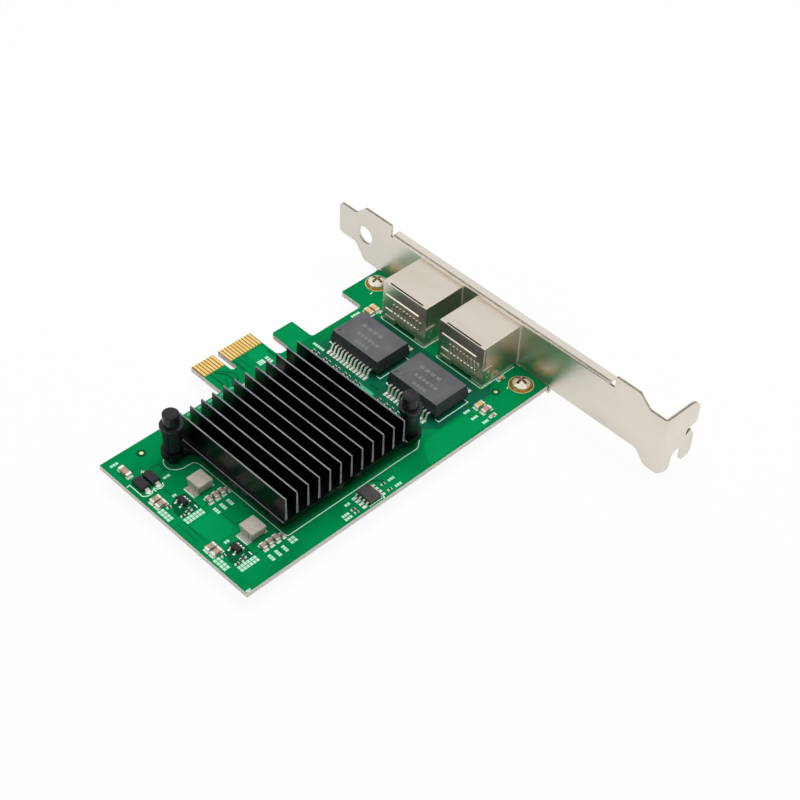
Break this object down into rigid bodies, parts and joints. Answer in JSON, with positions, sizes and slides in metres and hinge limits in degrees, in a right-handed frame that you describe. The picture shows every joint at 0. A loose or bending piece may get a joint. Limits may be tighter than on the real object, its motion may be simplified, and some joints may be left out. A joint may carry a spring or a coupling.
{
  "type": "network interface card",
  "caption": "Plug-in network card: green board with gold edge tab, black finned heatsink on push pins, shielded cable ports and a full-height steel bracket.",
  "frame": {"origin": "middle of the footprint at the height of the lowest edge, which is the outer end of the bracket screw tab, with the card lying component side up", "axes": "+Z out of the component face, +Y from the gold edge tab towards the bracket screw tab, +X from the bracket towards the rear edge of the board"},
  "size_m": [0.1194, 0.12, 0.0233],
  "materials": {
    "board": "gloss green solder mask",
    "gold": "hard gold plating",
    "bracket_steel": "satin nickel-plated sheet",
    "screw_nickel": "bright plated",
    "shield": "bright nickel-plated sheet",
    "port_plastic": "matte black moulding",
    "contact_gold": "gold-plated spring wire",
    "indicator": "clear light window",
    "solder": "bright solder",
    "transformer": "matte dark grey moulding",
    "lead_tin": "tin-plated",
    "heatsink_black": "black anodised extrusion",
    "thermal_pad": "soft grey pad",
    "chip": "matte black package",
    "push_pin": "satin black nylon",
    "spring": "spring wire",
    "ferrite": "pressed metal powder, satin",
    "ceramic": "fired ceramic",
    "ceramic_orange": "fired ceramic",
    "resistor": "glazed black",
    "crystal_can": "plated lid"
  },
  "bodies": {
    "root": {"bracket": "bracket_steel", "bracket_screws": "screw_nickel", "capacitor_bodies": "ceramic", "capacitor_ends": "lead_tin", "circuit_board": "board", "controller_balls": "solder", "controller_chip": "chip", "crystal": "crystal_can", "diode_bodies": "chip", "diode_leads": "lead_tin", "edge_contacts": "gold", "heatsink": "heatsink_black", "inductor_cores": "ferrite", "inductor_terminals": "lead_tin", "line_capacitor_bodies": "ceramic_orange", "line_capacitor_ends": "lead_tin", "memory_chip": "chip", "memory_chip_leads": "lead_tin", "pin_springs": "spring", "plated_pads": "gold", "port_a_contacts": "contact_gold", "port_a_housing": "port_plastic", "port_a_indicators": "indicator", "port_a_shield": "shield", "port_b_contacts": "contact_gold", "port_b_housing": "port_plastic", "port_b_indicators": "indicator", "port_b_shield": "shield", "push_pin_a": "push_pin", "push_pin_b": "push_pin", "regulator_bodies": "chip", "regulator_leads": "lead_tin", "resistor_bodies": "resistor", "resistor_ends": "lead_tin", "solder_joints": "solder", "thermal_pad": "thermal_pad", "transformer_a": "transformer", "transformer_a_leads": "lead_tin", "transformer_b": "transformer", "transformer_b_leads": "lead_tin"}
  },
  "joints": []
}
